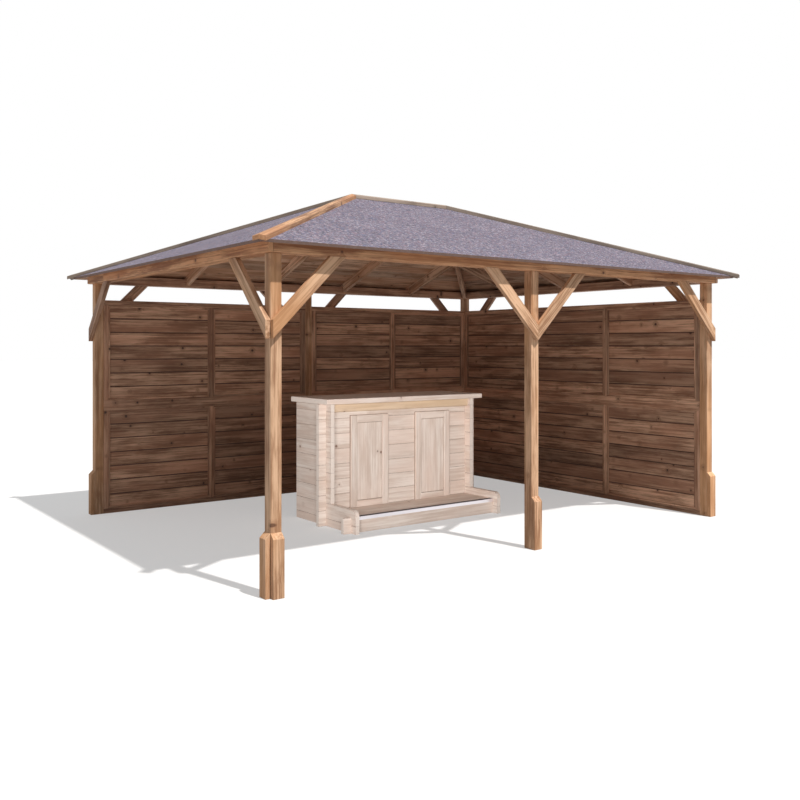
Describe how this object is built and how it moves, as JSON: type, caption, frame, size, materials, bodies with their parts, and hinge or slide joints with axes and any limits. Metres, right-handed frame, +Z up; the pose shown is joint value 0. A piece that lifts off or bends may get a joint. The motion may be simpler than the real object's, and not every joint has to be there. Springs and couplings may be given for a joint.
{
  "type": "garden gazebo with bar",
  "caption": "Timber garden gazebo with a hipped felt roof on knee-braced posts, panelled rear and right walls, and a log-built bar with a counter and a foot rest.",
  "frame": {"origin": "on the ground at the middle of the posts' plan, which is the middle of the roof's plan too", "axes": "+X along the long side, to the right as seen from the open front; -Y out of the open front; +Z up"},
  "size_m": [4.9798, 3.8998, 2.9342],
  "materials": {
    "post_wood": "planed softwood with a light brown stain",
    "beam_wood": "planed softwood with a brown stain",
    "roof_wood": "sawn and planed softwood with a brown stain",
    "roof_felt": "bitumen felt with a grey mineral surface",
    "cap_wood": "planed softwood with a light brown stain",
    "wall_wood": "planed softwood boards with a brown stain",
    "bar_wood": "planed logs and boards with a pale whitish stain",
    "nosing_steel": "bright folded steel"
  },
  "bodies": {
    "root": {"post_front_left": "post_wood", "foot_block_front_left_on_front": "post_wood", "brace_front_left_on_front": "post_wood", "foot_block_front_left_on_left": "post_wood", "brace_front_left_on_left": "post_wood", "post_front_right": "post_wood", "foot_block_front_right_on_front": "post_wood", "brace_front_right_on_front": "post_wood", "foot_block_front_right_on_right": "post_wood", "brace_front_right_on_right": "post_wood", "post_rear_left": "post_wood", "foot_block_rear_left_on_rear": "post_wood", "brace_rear_left_on_rear": "post_wood", "foot_block_rear_left_on_left": "post_wood", "brace_rear_left_on_left": "post_wood", "post_rear_right": "post_wood", "foot_block_rear_right_on_rear": "post_wood", "brace_rear_right_on_rear": "post_wood", "foot_block_rear_right_on_right": "post_wood", "brace_rear_right_on_right": "post_wood", "post_front_middle": "post_wood", "foot_block_front_middle": "post_wood", "brace_front_middle_to_left": "post_wood", "brace_front_middle_to_right": "post_wood", "post_rear_middle": "post_wood", "foot_block_rear_middle": "post_wood", "brace_rear_middle_to_left": "post_wood", "brace_rear_middle_to_right": "post_wood", "beam_front": "beam_wood", "beam_right": "beam_wood", "beam_rear": "beam_wood", "beam_left": "beam_wood", "roof_section_front": "roof_wood", "roof_section_right": "roof_wood", "roof_section_rear": "roof_wood", "roof_section_left": "roof_wood", "hip_rafter_front_left": "roof_wood", "hip_rafter_front_right": "roof_wood", "hip_rafter_rear_left": "roof_wood", "hip_rafter_rear_right": "roof_wood", "ridge_beam": "roof_wood", "roof_felt": "roof_felt", "hip_cap_front_left": "cap_wood", "hip_cap_front_right": "cap_wood", "hip_cap_rear_left": "cap_wood", "hip_cap_rear_right": "cap_wood", "ridge_cap": "cap_wood", "wall_rear_left": "wall_wood", "wall_rear_right": "wall_wood", "wall_right": "wall_wood", "bar_front_wall": "bar_wood", "bar_side_wall_left": "bar_wood", "bar_side_wall_right": "bar_wood", "step_board": "bar_wood", "step_deck": "bar_wood", "counter_apron": "bar_wood", "bar_panel_left": "bar_wood", "bar_panel_right": "bar_wood", "counter_top": "bar_wood", "step_nosing": "nosing_steel"}
  },
  "joints": []
}
